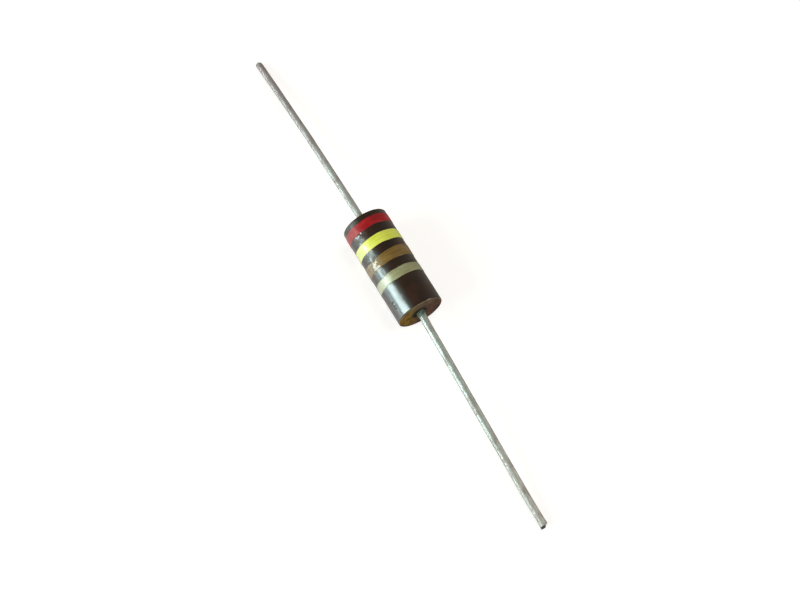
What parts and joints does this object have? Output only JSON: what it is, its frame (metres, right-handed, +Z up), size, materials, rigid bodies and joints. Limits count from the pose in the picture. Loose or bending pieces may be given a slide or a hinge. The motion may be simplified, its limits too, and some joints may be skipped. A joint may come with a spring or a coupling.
{
  "type": "axial resistor",
  "caption": "Cylindrical moulded resistor with painted colour bands and a stiff tinned wire lead out of each end, for through-hole boards or solder tags.",
  "frame": {"origin": "on the surface the resistor lies on, under the middle of its body", "axes": "+X along the body from the banded end to the plain end, +Z up, +Y across; both leads droop until their tips touch that surface"},
  "size_m": [0.0952, 0.008, 0.008],
  "materials": {
    "phenolic": "lacquered, glossy, dark chocolate brown",
    "carbon": "matt black carbon and resin",
    "tinned_copper": "dull tinned wire with fine drawing marks",
    "red_paint": "glossy deep red paint",
    "yellow_paint": "glossy lemon yellow paint",
    "brown_paint": "glossy light brown paint",
    "pale_gold_paint": "pale metallic khaki paint"
  },
  "bodies": {
    "root": {"moulded_body": "phenolic", "carbon_element": "carbon", "banded_end_lead": "tinned_copper", "plain_end_lead": "tinned_copper", "first_digit_band": "red_paint", "second_digit_band": "yellow_paint", "multiplier_band": "brown_paint", "tolerance_band": "pale_gold_paint"}
  },
  "joints": []
}
